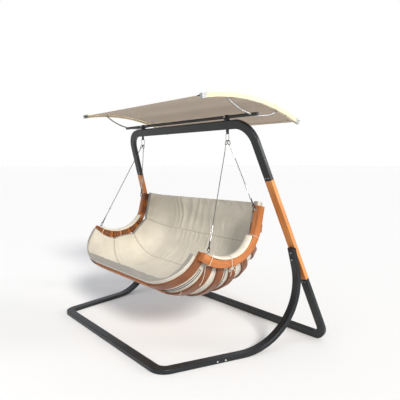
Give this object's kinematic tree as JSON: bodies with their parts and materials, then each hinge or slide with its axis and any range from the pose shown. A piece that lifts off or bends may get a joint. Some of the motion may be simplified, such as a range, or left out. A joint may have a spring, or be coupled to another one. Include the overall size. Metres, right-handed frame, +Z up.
{
  "type": "canopy swing bench",
  "caption": "Garden swing bench: a curved slatted timber seat with one wide cushion, hung on steel ropes from a leaning steel and timber stand, with a small fabric canopy above.",
  "frame": {"origin": "on the floor, under the middle of the stand's overall width and depth", "axes": "+Z up, +X along the bench towards its right end as the sitter's left hand points, -Y towards the front"},
  "size_m": [2.715, 1.6284, 2.225],
  "materials": {
    "dark_steel": "satin dark grey-brown paint",
    "bare_steel": "bare, inside the joints",
    "steel_screws": "dull zinc",
    "dark_caps": "matt black",
    "frame_timber": "clear satin stain on laminated timber",
    "slat_timber": "satin brown stain on bent plywood",
    "hanging_steel": "zinc plated",
    "steel_rope": "stranded, in a clear sleeve",
    "black_fittings": "black",
    "silver_fittings": "satin",
    "black_plastic": "matt black",
    "canopy_cloth": "plain close weave, cream",
    "seat_cloth": "plain outdoor cloth over padding, cream",
    "tie_cord": "thin cream cord"
  },
  "bodies": {
    "stand": {"top_arch": "dark_steel", "rear_base": "dark_steel", "front_base": "dark_steel", "post_left": "frame_timber", "post_right": "frame_timber", "post_tenons": "bare_steel", "rail_sleeves": "bare_steel", "sweep_caps": "dark_caps", "frame_bolts": "steel_screws", "post_screws": "steel_screws", "hang_lugs": "hanging_steel", "canopy_clamps": "black_fittings", "clamp_screws": "steel_screws", "side_sweep_left": "dark_steel", "side_sweep_right": "dark_steel"},
    "seat_swing": {"arm_pad_left": "seat_cloth", "arm_pad_right": "seat_cloth", "bow_end_1": "tie_cord", "bow_end_2": "tie_cord", "cable_front_left": "steel_rope", "cable_front_right": "steel_rope", "cable_rear_left": "steel_rope", "cable_rear_right": "steel_rope", "crimp_tubes": "hanging_steel", "eye_bolts": "steel_screws", "foot_sleeves": "black_fittings", "pad_ties_left": "tie_cord", "pad_ties_right": "tie_cord", "seat_cushion": "seat_cloth", "shackles": "black_fittings", "side_arc_left": "frame_timber", "side_arc_right": "frame_timber", "slat_1": "slat_timber", "slat_2": "slat_timber", "slat_3": "slat_timber", "slat_4": "slat_timber", "slat_5": "slat_timber", "slat_6": "slat_timber", "slat_7": "slat_timber", "slat_8": "slat_timber", "slat_screws_left": "steel_screws", "slat_screws_right": "steel_screws", "snap_hook_left": "hanging_steel", "snap_hook_right": "hanging_steel", "tie_end_front": "tie_cord", "tie_end_low": "tie_cord", "top_sleeves": "hanging_steel", "turnbuckles": "hanging_steel"},
    "canopy": {"canopy_beam": "black_plastic", "beam_caps": "dark_caps", "canopy_arc_left": "frame_timber", "canopy_arc_right": "frame_timber", "stay_arcs": "silver_fittings", "stay_bolts": "steel_screws", "canopy_fabric": "canopy_cloth", "edge_cords": "canopy_cloth", "arc_end_caps": "silver_fittings", "tensioners": "black_plastic"},
    "gate_left": {"snap_gate_left": "hanging_steel"},
    "gate_right": {"snap_gate_right": "hanging_steel"}
  },
  "joints": [
    {"name": "seat_swing_hinge", "type": "hinge", "parent": "stand", "child": "seat_swing", "pos_m": [0, 0.0985, 1.9297], "axis": [1, 0, 0], "range_deg": [-20, 20]},
    {"name": "canopy_tilt", "type": "hinge", "parent": "stand", "child": "canopy", "pos_m": [0, 0.0985, 2.07], "axis": [1, 0, 0], "range_deg": [-15, 15]},
    {"name": "gate_left_hinge", "type": "hinge", "parent": "seat_swing", "child": "gate_left", "pos_m": [-0.729, 0.0805, 1.8729], "axis": [1, 0, 0], "range_deg": [-25, 0], "stiffness_Nm_per_rad": 0.05, "springref_deg": 17.19},
    {"name": "gate_right_hinge", "type": "hinge", "parent": "seat_swing", "child": "gate_right", "pos_m": [0.729, 0.0805, 1.8729], "axis": [1, 0, 0], "range_deg": [-25, 0], "stiffness_Nm_per_rad": 0.05, "springref_deg": 17.19}
  ]
}
